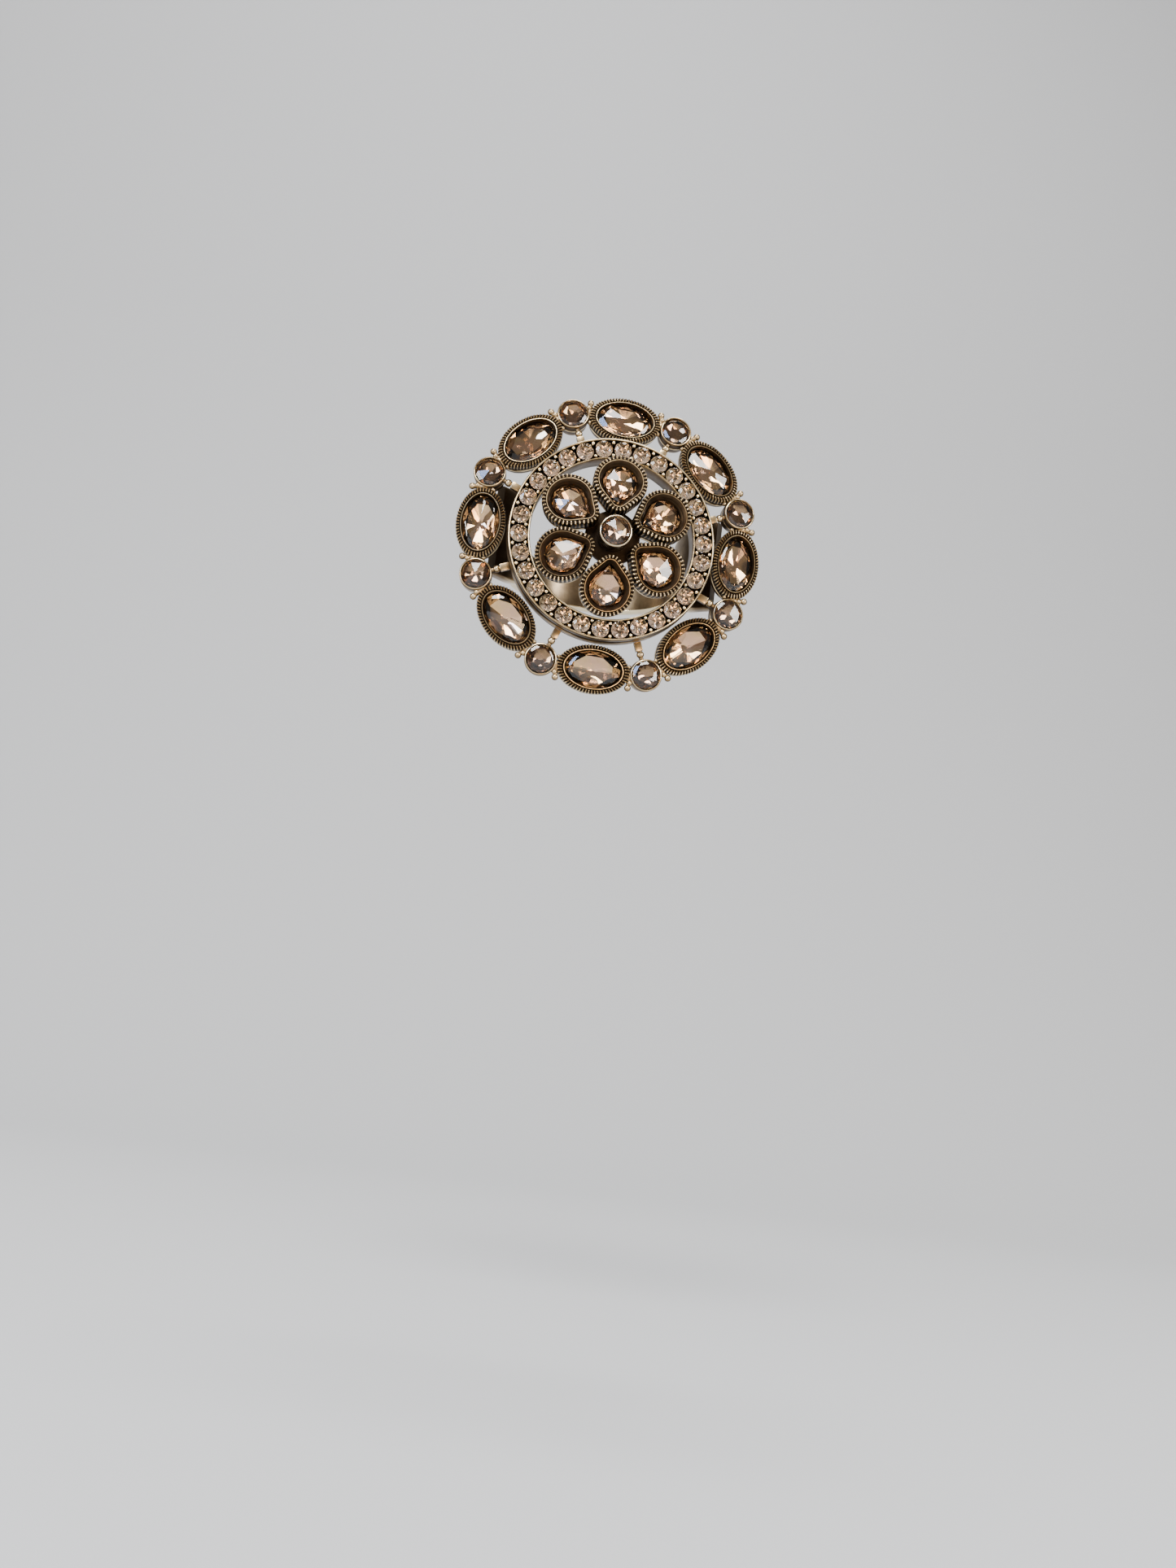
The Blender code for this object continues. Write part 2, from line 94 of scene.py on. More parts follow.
def pear_band(size, width, tip=0.30, count=240):
    """Teardrop with a small round tip at -Y, and the even way out to its rim."""
    half_width, half_length = size
    center = half_length - half_width
    tip_center = -half_length + tip
    lean = math.asin((half_width - tip) / (center - tip_center))
    arcs = []
    for first, last, radius, height, steps in (
            (-lean, math.pi + lean, half_width, center, count),
            (math.pi + lean, 2 * math.pi - lean, tip, tip_center, count // 3)):
        turn = np.linspace(first, last, steps)
        normal = np.column_stack([np.cos(turn), np.sin(turn)])
        arcs.append((normal * radius + (0.0, height), normal))
    points, normals = [], []
    for (arc, arc_normal), (other, _) in zip(arcs, arcs[::-1]):
        along = np.linspace(0, 1, count // 4)[1:-1, None]
        points += [arc, arc[-1] + (other[0] - arc[-1]) * along]
        normals += [arc_normal, np.repeat(arc_normal[-1:], len(along), 0)]
    return np.concatenate(points), np.concatenate(normals) * width


def spaced(band, ribs, phases=(0.0,)):
    """The band resampled at the given phases of even steps along its outer edge."""
    points, reach = (np.vstack([values, values[:1]]) for values in band)
    outer = points + reach
    length = np.concatenate([[0], np.cumsum(np.linalg.norm(np.diff(outer, axis=0), axis=1))])
    want = np.array([(rib + phase) / ribs * length[-1] for rib in range(ribs) for phase in phases])
    return tuple(np.column_stack([np.interp(want, length, values[:, axis]) for axis in (0, 1)])
                 for values in (points, reach))


# ---------------------------------------------------------------- mesh helpers

def set_wear_and_shade(mesh, wear_and_shade):
    """Store how worn, and so how bright, the metal is at each vertex, with painted shade where it falls
    on the strap.
    """
    layer = mesh.attributes.new("wear_and_shade", "FLOAT", "POINT")
    layer.data.foreach_set("value", np.clip(np.asarray(wear_and_shade, np.float32), 0, 1))


def finish_mesh(name, verts, faces, wear_and_shade=None, sharp=40):
    """Smooth mesh from points in millimetres, its faces turned outwards."""
    mesh = bpy.data.meshes.new(name)
    mesh.from_pydata([tuple(v) for v in np.asarray(verts) * MM], [], [tuple(f) for f in faces])
    if wear_and_shade is not None:
        set_wear_and_shade(mesh, wear_and_shade)
    mesh.shade_smooth()
    mesh.set_sharp_from_angle(angle=math.radians(sharp))
    return mesh


def grid_faces(rows, count, closed_rows=False):
    """Quads of rings of points, each ring closed on itself."""
    faces = []
    for row in range(rows if closed_rows else rows - 1):
        other = (row + 1) % rows
        for i in range(count):
            j = (i + 1) % count
            faces.append((row * count + i, row * count + j, other * count + j, other * count + i))
    return faces


def cup_mesh(name, band, profile, ribs=0, count=96):
    """Closed cup swept round an outline from its floor over the rim to its back.

    A profile row is (share of the rim's width, height, rib outwards, rib upwards,
    wear in a valley, wear on a rib's crest).
    """
    if ribs:
        points, reach = spaced(band, ribs, [phase for phase, _ in RIB])
        crest = np.tile([height for _, height in RIB], ribs)
    else:
        points, reach = spaced(band, count)
        crest = np.zeros(count)
    away = reach / np.linalg.norm(reach, axis=1)[:, None]
    verts, wear_and_shade = [], []
    for share, height, out, up, valley, top in profile:
        ring = points + reach * share + away * (crest * out * RIB_OUT)[:, None]
        verts.append(np.column_stack([ring, height + crest * up * RIB_UP]))
        wear_and_shade.append(valley + (top - valley) * crest)
    count, rows = len(points), len(profile)
    faces = grid_faces(rows, count)
    floor, back = rows * count, rows * count + 1
    middle = points.mean(0)
    verts.append([[*middle, profile[0][1]], [*middle, profile[-1][1]]])
    wear_and_shade.append([profile[0][4], profile[-1][4]])
    for i in range(count):
        j = (i + 1) % count
        faces.append((floor, j, i))
        faces.append((back, floor - count + i, floor - count + j))
    return finish_mesh(name, np.concatenate(verts), faces, np.concatenate(wear_and_shade), 50)


def turned_mesh(name, profile, count):
    """Ring turned round Z from a closed section of (radius, height, wear)."""
    turn = np.linspace(0, 2 * np.pi, count, endpoint=False)
    verts = [np.column_stack([radius * np.cos(turn), radius * np.sin(turn), np.full(count, height)])
             for radius, height, _ in profile]
    wear_and_shade = [np.full(count, wear_and_shade_level) for _, _, wear_and_shade_level in profile]
    faces = grid_faces(len(profile), count, closed_rows=True)
    return finish_mesh(name, np.concatenate(verts), faces, np.concatenate(wear_and_shade), 50)


def hull_mesh(name, points):
    """Flat-faceted convex stone through its corner points."""
    bm = bmesh.new()
    for point in points:
        bm.verts.new(Vector(point) * MM)
    bmesh.ops.convex_hull(bm, input=bm.verts)
    bmesh.ops.delete(bm, geom=[v for v in bm.verts if not v.link_faces], context="VERTS")
    bmesh.ops.dissolve_limit(bm, angle_limit=math.radians(0.6), verts=bm.verts, edges=bm.edges)
    bmesh.ops.recalc_face_normals(bm, faces=bm.faces)
    mesh = bpy.data.meshes.new(name)
    bm.to_mesh(mesh)
    bm.free()
    return mesh


def rod(bm, start, end, radius, radius_end=None, segments=12):
    """Round bar between two points."""
    start, end = Vector(start) * MM, Vector(end) * MM
    axis = end - start
    turn = Vector((0, 0, 1)).rotation_difference(axis).to_matrix().to_4x4()
    bmesh.ops.create_cone(bm, cap_ends=True, segments=segments, depth=axis.length,
                          radius1=radius * MM, radius2=(radius_end or radius) * MM,
                          matrix=Matrix.Translation((start + end) / 2) @ turn)


def around(radius, angle, height):
    """Point at a radius from the medallion's axis, its angle clockwise from the top."""
    turn = math.radians(angle)
    return radius * math.sin(turn), radius * math.cos(turn), height


def ball(bm, at, radius, stretch=(1, 1, 1), segments=16, rings=10):
    """Round or stretched granule."""
    matrix = Matrix.Translation(Vector(at) * MM) @ Matrix.Diagonal((*stretch, 1.0))
    bmesh.ops.create_uvsphere(bm, u_segments=segments, v_segments=rings, radius=radius * MM,
                              matrix=matrix)


def worn_mesh(name, bm, wear_of):
    """Mesh of small solder pieces, its wear worked out from each vertex's place."""
    mesh = bpy.data.meshes.new(name)
    bm.to_mesh(mesh)
    bm.free()
    set_wear_and_shade(mesh, [wear_of(vertex.co / MM) for vertex in mesh.vertices])
    mesh.shade_smooth()
    mesh.set_sharp_from_angle(angle=math.radians(40))
    return mesh


def mirrored(mesh, name):
    """The same piece mirrored left to right."""
    bm = bmesh.new()
    bm.from_mesh(mesh)
    bmesh.ops.scale(bm, vec=(-1, 1, 1), verts=bm.verts)
    bmesh.ops.reverse_faces(bm, faces=bm.faces)
    copy = mesh.copy()
    copy.name = name
    bm.to_mesh(copy)
    bm.free()
    return copy


def place(name, mesh, matrix, slot, replaced, *materials):
    """Put a piece on the ring, in place of the solids it stands for."""
    obj = bpy.data.objects.new(name, mesh)
    bpy.context.scene.collection.objects.link(obj)
    if not mesh.materials:
        for material in materials:
            mesh.materials.append(material)
    obj.matrix_world = matrix
    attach(obj, "root")
    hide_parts(*replaced)
    return obj


def seat(radius, angle, height, tilt=0.0):
    """Frame of a piece on the medallion, its +Y outwards, leaning outwards by the tilt."""
    at = Vector(around(radius, angle, height)) * MM
    return (FRONT @ Matrix.Translation(at) @ Matrix.Rotation(-math.radians(angle), 4, "Z")
            @ Matrix.Rotation(-math.radians(tilt), 4, "X"))


def sunk(depth, number):
    """Step down into a cup, with the slight lean that each set stone has of its own."""
    lean_x = math.radians(STONE_LEAN * math.sin(number * 2.4 + 0.6))
    lean_y = math.radians(STONE_LEAN * math.cos(number * 1.7))
    return (Matrix.Translation((0.0, 0.0, -depth * MM)) @ Matrix.Rotation(lean_x, 4, "X")
            @ Matrix.Rotation(lean_y, 4, "Y"))


# ---------------------------------------------------------------- materials

def shader_of(material):
    """A material's nodes, links and shader."""
    material.use_nodes = True
    tree = material.node_tree
    return tree.nodes, tree.links, tree.nodes["Principled BSDF"]


def noise_node(nodes, links, scale, detail=2.0, rough=0.5):
    """Soft noise fixed to the piece itself."""
    coords = nodes.new("ShaderNodeTexCoord")
    cloud = nodes.new("ShaderNodeTexNoise")
    cloud.inputs["Scale"].default_value = scale
    cloud.inputs["Detail"].default_value = detail
    cloud.inputs["Roughness"].default_value = rough
    links.new(coords.outputs["Object"], cloud.inputs["Vector"])
    return cloud.outputs["Fac"]


def math_node(nodes, links, operation, first, second, clamp=False):
    """Sum or product of two numbers or sockets."""
    node = nodes.new("ShaderNodeMath")
    node.operation = operation
    node.use_clamp = clamp
    for socket, value in zip(node.inputs, (first, second)):
        if isinstance(value, (int, float)):
            socket.default_value = value
        else:
            links.new(value, socket)
    return node.outputs["Value"]


def ramp_node(nodes, links, value, stops):
    """Colour ramp with stops of (position, colour)."""
    node = nodes.new("ShaderNodeValToRGB")
    elements = node.color_ramp.elements
    for number, (position, colour) in enumerate(stops):
        element = elements[number] if number < 2 else elements.new(position)
        element.position = position
        element.color = (*colour, 1.0)
    links.new(value, node.inputs["Fac"])
    return node.outputs["Color"]


def metal(name, stops, rough_dark, rough_bright, grain, bump):
    """Plated metal: the wear at each place, with the strap's painted shade, broken up by noise, runs from
    patina to bright.
    """
    material = bpy.data.materials.new(name)
    nodes, links, shader = shader_of(material)
    # the attribute holds worn-metal brightness, and on the strap also painted shade
    wear_and_shade_level = nodes.new("ShaderNodeAttribute")
    wear_and_shade_level.attribute_name = "wear_and_shade"
    cloud = noise_node(nodes, links, grain, 4.0, 0.6)
    spread = math_node(nodes, links, "SUBTRACT", cloud, 0.5)
    reach = math_node(nodes, links, "MULTIPLY_ADD", wear_and_shade_level.outputs["Fac"], 0.65)
    reach.node.inputs[2].default_value = 0.12
    spread = math_node(nodes, links, "MULTIPLY", spread, reach)
    total = math_node(nodes, links, "ADD", wear_and_shade_level.outputs["Fac"], spread, clamp=True)
    links.new(ramp_node(nodes, links, total, stops), shader.inputs["Base Color"])
    rough = nodes.new("ShaderNodeMapRange")
    rough.inputs["To Min"].default_value = rough_dark
    rough.inputs["To Max"].default_value = rough_bright
    links.new(total, rough.inputs["Value"])
    links.new(rough.outputs["Result"], shader.inputs["Roughness"])
    shader.inputs["Metallic"].default_value = 1.0
    bumps = nodes.new("ShaderNodeBump")
    bumps.inputs["Strength"].default_value = bump
    bumps.inputs["Distance"].default_value = 0.04 * MM
    links.new(noise_node(nodes, links, grain * 2.2, 3.0), bumps.inputs["Height"])
    links.new(bumps.outputs["Normal"], shader.inputs["Normal"])
    return material


def glass(name, pale, deep):
    """Clear coloured front of a stone, its tint slightly uneven."""
    material = bpy.data.materials.new(name)
    nodes, links, shader = shader_of(material)
    tint = ramp_node(nodes, links, noise_node(nodes, links, 260.0), [(0.3, deep), (0.7, pale)])
    links.new(tint, shader.inputs["Base Color"])
    shader.inputs["Transmission Weight"].default_value = 1.0
    shader.inputs["Roughness"].default_value = 0.0
    shader.inputs["IOR"].default_value = 1.56
    return material


def foil(name, pink, gold, smoke, scale):
    """Mirror backing of a stone, its silver tinted unevenly and smoked in places."""
    material = bpy.data.materials.new(name)
    nodes, links, shader = shader_of(material)
    cloud = noise_node(nodes, links, scale)
    tint = ramp_node(nodes, links, cloud, [(0.34, smoke), (0.64, pink), (0.50, gold)])
    links.new(tint, shader.inputs["Base Color"])
    shader.inputs["Metallic"].default_value = 1.0
    shader.inputs["Roughness"].default_value = 0.05
    return material


BRASS = metal(
    "antique_brass",
    [(0.0, (0.012, 0.008, 0.005)), (1.0, (0.91, 0.73, 0.43)),
     (0.30, (0.085, 0.053, 0.028)), (0.58, (0.36, 0.25, 0.13))],
    rough_dark=0.50, rough_bright=0.18, grain=1100.0, bump=0.34)
BRIGHT = metal(
    "polished_brass",
    [(0.0, (0.035, 0.024, 0.015)), (1.0, (0.88, 0.74, 0.49)),
     (0.25, (0.16, 0.115, 0.07)), (0.6, (0.60, 0.48, 0.31))],
    rough_dark=0.36, rough_bright=0.14, grain=500.0, bump=0.05)
CHAMPAGNE = glass("champagne_glass", (0.94, 0.84, 0.72), (0.86, 0.74, 0.61))
CLEAR = glass("clear_glass", (0.99, 0.96, 0.91), (0.95, 0.90, 0.85))
WARM_FOIL = foil("champagne_foil", (0.72, 0.52, 0.41), (0.67, 0.52, 0.32), (0.33, 0.24, 0.18), 420.0)
SMOKY_FOIL = foil("smoky_foil", (0.36, 0.25, 0.19), (0.31, 0.23, 0.14), (0.13, 0.095, 0.075), 520.0)
CLEAR_FOIL = foil("silver_foil", (0.66, 0.52, 0.44), (0.61, 0.53, 0.39), (0.26, 0.20, 0.15), 900.0)


# ---------------------------------------------------------------- cups

def plain(share, height, wear_and_shade_level):
    """Profile row without ribs."""
    return share, height, 0.0, 0.0, wear_and_shade_level, wear_and_shade_level


OVAL_PROFILE = [
    plain(-0.60, -1.30, 0.03),
    plain(0.00, -0.64, 0.03),
    plain(0.05, -0.50, 0.10),
    plain(0.13, -0.22, 0.20),
    plain(0.17, -0.07, 0.30),
    plain(0.20, -0.01, 0.66),
    plain(0.26, -0.01, 0.72),
    plain(0.29, -0.07, 0.22),
    plain(0.33, -0.18, 0.02),
    plain(0.42, -0.18, 0.02),
    (0.46, -0.14, 0.0, 0.6, 0.0, 0.80),
    (0.51, -0.12, 0.0, 1.0, 0.0, 0.95),
    (0.67, -0.12, 0.0, 1.0, 0.0, 0.55),
    (0.83, -0.12, 0.0, 1.0, 0.0, 0.70),
    (0.91, -0.18, 0.6, 0.8, 0.0, 1.00),
    (0.93, -0.30, 1.0, 0.2, 0.0, 0.85),
    (0.92, -0.72, 1.0, 0.0, 0.0, 0.50),
    (0.91, -0.84, 0.6, 0.0, 0.0, 0.25),
    plain(0.90, -0.90, 0.02),
    plain(0.89, -1.10, 0.03),
    plain(0.95, -1.18, 0.80),
    plain(0.97, -1.28, 0.95),
    plain(0.95, -1.38, 0.70),
    plain(0.88, -1.48, 0.20),
    plain(0.85, 0.10 - OVAL_DEPTH, 0.40),
    plain(0.80, -OVAL_DEPTH, 0.55),
    plain(0.20, -OVAL_DEPTH, 0.45),
]

PETAL_PROFILE = [
    plain(-0.60, -1.75, 0.03),
    plain(0.00, -0.98, 0.03),
    plain(0.04, -0.84, 0.10),
    plain(0.13, -0.62, 0.14),
    plain(0.17, -0.58, 0.26),
    plain(0.19, -0.50, 0.13),
    plain(0.34, -0.27, 0.15),
    plain(0.45, -0.12, 0.22),
    plain(0.49, -0.05, 0.60),
    plain(0.53, -0.05, 0.50),
    plain(0.55, -0.16, 0.02),
    plain(0.61, -0.16, 0.02),
    (0.64, -0.13, 0.0, 0.7, 0.0, 0.90),
    (0.68, -0.12, 0.0, 1.0, 0.0, 1.00),
    (0.78, -0.13, 0.0, 0.8, 0.0, 0.40),
    (0.88, -0.12, 0.0, 1.0, 0.0, 0.90),
    (0.94, -0.18, 0.6, 0.8, 0.0, 1.00),
    (0.95, -0.30, 1.0, 0.2, 0.0, 0.85),
    (0.94, -0.90, 1.0, 0.0, 0.0, 0.55),
    (0.93, -1.28, 0.8, 0.0, 0.0, 0.35),
    plain(0.91, -1.36, 0.02),
    plain(0.91, -1.50, 0.03),
    plain(0.95, -1.58, 0.80),
    plain(0.96, -1.68, 0.90),
    plain(0.94, -1.78, 0.60),
    plain(0.88, 0.12 - PETAL_DEPTH, 0.30),
    plain(0.83, -PETAL_DEPTH, 0.50),
    plain(0.20, -PETAL_DEPTH, 0.45),
]


# Turned sections: rows of (radius, height, wear).
HUB_SECTION = [
    (0.02, 0.55, 0.02), (1.4, 0.56, 0.02), (2.6, 0.52, 0.02), (2.95, 0.40, 0.05), (3.0, 0.1, 0.10),
    (2.8, -0.25, 0.3), (0.02, -0.30, 0.3),
]
PAVE_SECTION = [
    (8.87, -2.20, 0.5), (8.83, -2.16, 0.22), (8.83, 0.00, 0.34), (8.86, 0.12, 0.62),
    (8.93, 0.16, 0.84), (9.02, 0.12, 0.65), (9.06, 0.02, 0.20), (9.07, -0.20, 0.02),
    (9.09, -1.00, 0.02), (10.0, GROOVE_FLOOR, 0.02), (10.91, -1.00, 0.02),
    (10.93, -0.20, 0.02), (10.94, 0.02, 0.20), (10.98, 0.12, 0.55), (11.07, 0.16, 0.84),
    (11.14, 0.12, 0.62), (11.17, 0.00, 0.34), (11.17, -0.62, 0.28), (11.10, -0.72, 0.04),
    (11.10, -0.95, 0.04), (11.17, -1.05, 0.6), (11.17, -2.16, 0.28), (11.13, -2.20, 0.4),
]


def bezel_profile(depth):
    """Thin smooth cup round a round stone."""
    return [
        plain(-2.5, -1.30, 0.03),
        plain(0.00, -0.45, 0.03),
        plain(0.12, -0.18, 0.35),
        plain(0.24, 0.00, 0.75),
        plain(0.45, 0.06, 0.95),
        plain(0.72, 0.04, 0.62),
        plain(1.00, -0.07, 0.42),
        plain(0.97, -0.34, 0.22),
        plain(0.90, -0.78, 0.15),
        plain(0.98, -0.90, 0.80),
        plain(0.98, -1.05, 0.85),
        plain(0.85, -1.14, 0.20),
        plain(0.70, 0.10 - depth, 0.40),
        plain(0.50, -depth, 0.55),
        plain(-2.5, -depth, 0.45),
    ]


def strut_mesh():
    """Rounded flat tab at the pave ring, a bead, and a short neck into the round cup."""
    bm = bmesh.new()
    size = Matrix.Diagonal((*(Vector(STRUT_TAB) * MM), 1.0))
    bmesh.ops.create_cube(bm, size=1.0, matrix=Matrix.Translation(Vector(STRUT_TAB_PLACE) * MM) @ size)
    bmesh.ops.bevel(bm, geom=bm.edges[:], offset=0.09 * MM, segments=2, affect="EDGES", profile=0.6)
    rod(bm, (0, 12.1, -1.80), (0, 12.5, -1.82), STRUT_NECK)
    ball(bm, STRUT_BEAD_PLACE, STRUT_BEAD, (1.0, 1.0, 0.9))
    rod(bm, (0, 12.8, -1.86), (0, 13.6, -1.95), STRUT_NECK, 0.28)
    return worn_mesh("strut", bm, lambda p: 0.36 + (p.z + 1.75) * 1.1)


def junction_mesh():
    """Solder between an oval and a round cup, a post and its granule, right-hand side."""
    bm = bmesh.new()
    ball(bm, around(14.75, 6.75, -2.35), 0.60, (0.8, 1.35, 1.0))
    rod(bm, around(14.6, 6.75, -2.0), around(GRANULE_ORBIT, GRANULE_ANGLE, -2.1), 0.24)
    ball(bm, around(GRANULE_ORBIT, GRANULE_ANGLE, -2.08), GRANULE_RADIUS)
    ball(bm, around(15.45, 7.2, -1.98), 0.30)
    ball(bm, around(13.75, 6.4, -1.95), 0.26)
    return worn_mesh("junction", bm, lambda p: 0.40 + (p.z + 1.95) * 1.1)


def build_wreath():
    """Eight oval and eight round cups, with the struts and solder that join them."""
    node, look = ["outer_wreath"], "antique_brass"
    oval = cup_mesh("oval_cup", ellipse_band(OVAL_STONE, OVAL_RIM), OVAL_PROFILE, OVAL_RIBS)
    small_band = ellipse_band((ROUND_STONE, ROUND_STONE), (ROUND_RIM, ROUND_RIM))
    small = cup_mesh("round_cup", small_band, bezel_profile(ROUND_DEPTH))
    strut, right = strut_mesh(), junction_mesh()
    left = mirrored(right, "junction_left")
    for number in range(WREATH_COUNT):
        oval_angle = number * 360.0 / WREATH_COUNT
        round_angle = oval_angle + 180.0 / WREATH_COUNT
        spot = number + 1
        oval_seat = seat(OVAL_RIM_RADIUS, oval_angle, OVAL_RIM_HEIGHT, WREATH_TILT)
        round_seat = seat(ROUND_RIM_RADIUS, round_angle, ROUND_RIM_HEIGHT, WREATH_TILT)
        spoke = seat(0.0, round_angle, 0.0)
        place(f"wreath_oval_cup_{spot}", oval, oval_seat, look, node, BRASS)
        place(f"wreath_round_cup_{spot}", small, round_seat, look, node, BRASS)
        place(f"wreath_strut_{spot}", strut, spoke, look, node, BRASS)
        place(f"wreath_junction_right_{spot}", right, spoke, look, node, BRASS)
        place(f"wreath_junction_left_{spot}", left, spoke, look, node, BRASS)


def build_flower():
    """Six pear cups on a flat hub."""
    cup = cup_mesh("petal_cup", pear_band(PEAR_STONE, PETAL_RIM_WIDTH), PETAL_PROFILE, PETAL_RIBS)
    for number in range(PETAL_COUNT):
        place(f"flower_cup_{number + 1}", cup,
              seat(PETAL_RADIUS, number * 360.0 / PETAL_COUNT, PETAL_RIM_HEIGHT, PETAL_TILT),
              "antique_brass", ["flower_setting"], BRASS)
    hub = turned_mesh("hub", HUB_SECTION, 64)
    place("flower_hub", hub, seat(0, 0, 0), "antique_brass", ["flower_setting"], BRASS)


def build_center():
    """Raised round cup at the medallion's axis."""
    band = ellipse_band((ROUND_STONE, ROUND_STONE), (CENTER_RIM, CENTER_RIM))
    cup = cup_mesh("center_cup", band, bezel_profile(CENTER_RIM_HEIGHT - CENTER_FOOT))
    place("center_bezel_cup", cup, seat(0, 0, CENTER_RIM_HEIGHT), "polished_brass",
          ["center_bezel"], BRIGHT)


def build_pave_ring():
    """Turned channel with two raised rims, and bead prongs between the stones."""
    ring = turned_mesh("pave_ring", PAVE_SECTION[::-1], 240)
    place("pave_ring_channel", ring, seat(0, 0, 0), "antique_brass", ["pave_channel_ring"], BRASS)
    bm = bmesh.new()
    for number in range(PAVE_COUNT):
        turn = 2 * math.pi * (number + 0.5) / PAVE_COUNT
        for orbit in BEAD_ORBITS:
            x, y = orbit * math.sin(turn), orbit * math.cos(turn)
            rod(bm, (x, y, GROOVE_FLOOR), (x, y, -0.05), 0.20, 0.16, 10)
            ball(bm, (x, y, -0.02), BEAD_RADIUS, (1, 1, 1.1), 12, 8)
    beads = worn_mesh("pave_beads", bm, lambda p: 0.72 + (p.z - 0.02) * 1.6)
    place("pave_bead_prongs", beads, seat(0, 0, 0), "antique_brass", ["pave_channel_ring"], BRASS)


# ---------------------------------------------------------------- stones

def ring_points(count, scale, height, size, phase=0.0):
    """Corner points on a scaled copy of an elliptical stone's outline."""
    return [(size[0] * scale * math.cos(2 * math.pi * (i + phase) / count),
             size[1] * scale * math.sin(2 * math.pi * (i + phase) / count), height) for i in range(count)]


def point_cut(size, crown, mains, back=0.46, culet=0.20):
    """Point-cut stone: small facets round the girdle, large ones to an apex, shallow foiled back."""
    points = ring_points(mains * 2, 1.0, 0.0, size, 0.5) + ring_points(mains * 2, 1.0, 0.08, size, 0.5)
    points += ring_points(mains, 0.84, 0.08 + crown * 0.36, size)
    points += ring_points(mains, 0.74, -back, size, 0.5)
    return points + [(0, 0, 0.08 + crown), (0, 0, -back - culet)]


def pear_cut(size, crown, mains, back=0.46, culet=0.16):
    """The same cut on a teardrop, its apex in the round end."""
    outline = spaced(pear_band(size, 0.0, tip=0.22), mains * 2)[0]
    high = size[1] * 0.14
    points = []
    for number, (x, y) in enumerate(outline):
        points += [(x, y, 0.0), (x, y, 0.08)]
        if number % 2:
            points.append((x * 0.74, high + (y - high) * 0.74, -back))
        else:
            points.append((x * 0.84, high + (y - high) * 0.84, 0.08 + crown * 0.38))
    return points + [(0, high, 0.08 + crown), (0, high, -back - culet)]


def brilliant_cut(radius):
    """Small round brilliant with a table and a pointed back."""
    size = (radius, radius)
    points = ring_points(16, 1.0, -0.03, size) + ring_points(16, 1.0, 0.03, size)
    points += ring_points(8, 0.80, 0.22, size, 0.5) + ring_points(8, 0.56, 0.34, size)
    return points + ring_points(8, 0.55, -0.47, size, 0.5) + [(0, 0, -0.91)]


def stone(name, points, front, back):
    """Stone whose back facets carry foil and whose front facets are clear glass."""
    mesh = hull_mesh(name, points)
    mesh.materials.append(front)
    mesh.materials.append(back)
    for face in mesh.polygons:
        face.material_index = 1 if face.normal.z < -0.01 and face.center.z < -0.02 * MM else 0
    return mesh


def build_stones():
    """Every stone in its cup: ovals, rounds, pears, pave stones and the centre."""
    oval = stone("oval_gem", point_cut(OVAL_STONE, 0.66, 8), CHAMPAGNE, WARM_FOIL)
    small = stone("round_gem", point_cut((ROUND_STONE, ROUND_STONE), 0.48, 7), CHAMPAGNE, SMOKY_FOIL)
    pear = stone("pear_gem", pear_cut(PEAR_STONE, 0.66, 7), CHAMPAGNE, WARM_FOIL)
    chaton = stone("chaton_gem", brilliant_cut(PAVE_STONE), CLEAR, CLEAR_FOIL)
    look = "champagne_stone"
    for number in range(WREATH_COUNT):
        angle = number * 360.0 / WREATH_COUNT
        spot = number + 1
        cup = seat(OVAL_RIM_RADIUS, angle, OVAL_RIM_HEIGHT, WREATH_TILT)
        place(f"oval_gem_{spot}", oval, cup @ sunk(OVAL_DROP, number), look, [f"oval_stone_{spot}"])
        cup = seat(ROUND_RIM_RADIUS, angle + 180.0 / WREATH_COUNT, ROUND_RIM_HEIGHT, WREATH_TILT)
        set_in = cup @ sunk(ROUND_DROP, number + 20) @ Matrix.Rotation(number * 1.1, 4, "Z")
        place(f"round_gem_{spot}", small, set_in, look, [f"round_stone_{spot}"])
    for number in range(PETAL_COUNT):
        spot = number + 1
        cup = seat(PETAL_RADIUS, number * 360.0 / PETAL_COUNT, PETAL_RIM_HEIGHT, PETAL_TILT)
        place(f"pear_gem_{spot}", pear, cup @ sunk(PETAL_DROP, number + 40), look, [f"pear_stone_{spot}"])
    for number in range(PAVE_COUNT):
        spot = number + 1
        cup = seat(PAVE_ORBIT, number * 360.0 / PAVE_COUNT, 0.0)
        set_in = cup @ sunk(0.0, number + 60) @ Matrix.Rotation(number * 0.65, 4, "Z")
        place(f"chaton_gem_{spot:02d}", chaton, set_in, "clear_stone", [f"pave_stone_{spot:02d}"])
    place("center_gem", small, seat(0, 0, CENTER_RIM_HEIGHT - ROUND_DROP), look, ["center_stone"])


# ---------------------------------------------------------------- shank

def strap_path():
    """Middle line of one half of the strap in the XY plane, from its back to a shoulder."""
    middle = BORE_RADIUS + STRAP_THICKNESS / 2
    turn = np.radians(np.linspace(0, STRAP_ROUND_END, 51))
    arc = np.column_stack([middle * np.sin(turn), middle * np.cos(turn)])
    first = math.radians(90.0 - STRAP_ROUND_END)
    heading = np.linspace(first, math.radians(SHOULDER_HEADING), 34)[1:]
    bend = np.column_stack([SHOULDER_BEND_RADIUS * (math.cos(first) - np.cos(heading)),
                            SHOULDER_BEND_RADIUS * (math.sin(first) - np.sin(heading))])
    return np.concatenate([arc, arc[-1] + bend])


